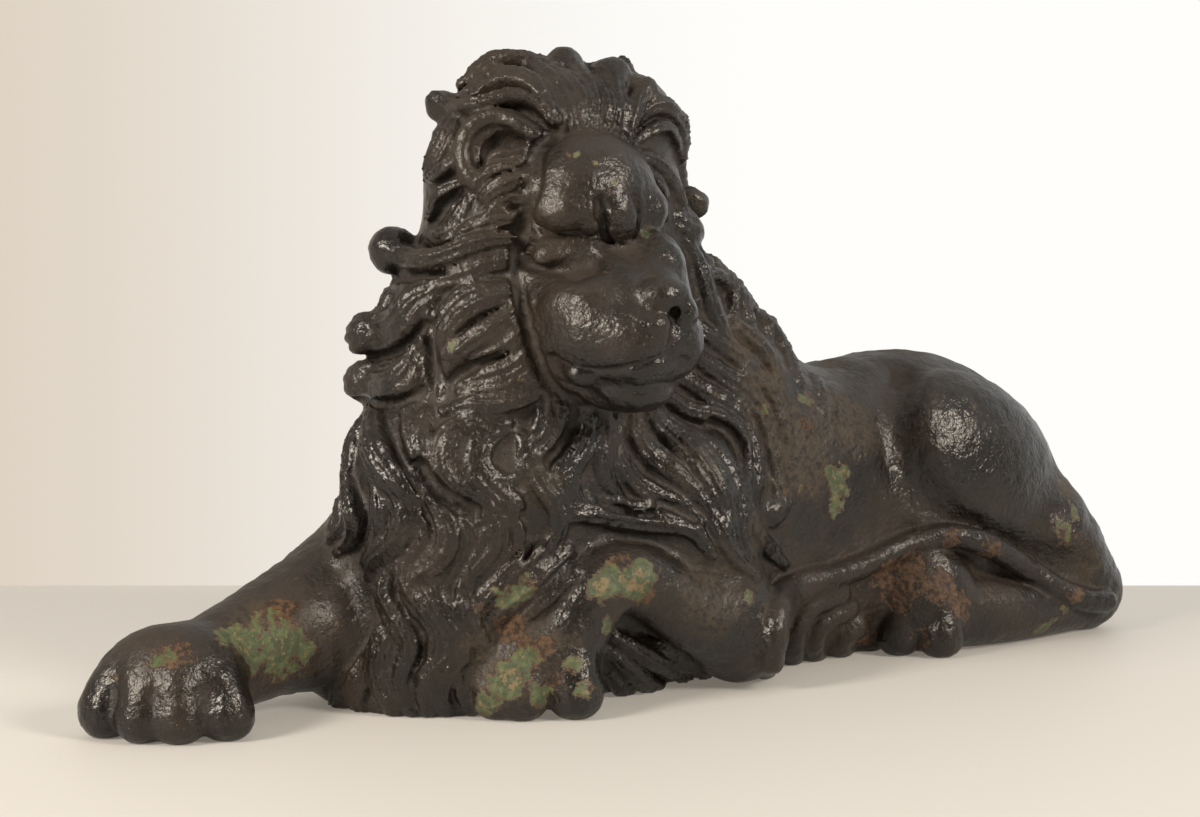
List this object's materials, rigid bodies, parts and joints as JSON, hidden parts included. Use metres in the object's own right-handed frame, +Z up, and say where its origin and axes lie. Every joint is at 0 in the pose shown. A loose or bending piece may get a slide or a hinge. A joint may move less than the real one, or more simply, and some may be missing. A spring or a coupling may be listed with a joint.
{
  "type": "lion doorstop",
  "caption": "Reclining lion doorstop with a curled mane and turned head, holds a door open by its weight.",
  "frame": {"origin": "centre of the footprint on the surface the lion lies on", "axes": "+X runs from the outstretched right paw back to the rump, +Y points out of the lion's right flank, +Z is up"},
  "size_m": [0.5754, 0.2044, 0.3079],
  "materials": {
    "painted_iron": "old black paint over cast iron, satin, worn through to older green paint and brown rust"
  },
  "bodies": {
    "root": {"lion": "painted_iron"}
  },
  "joints": []
}
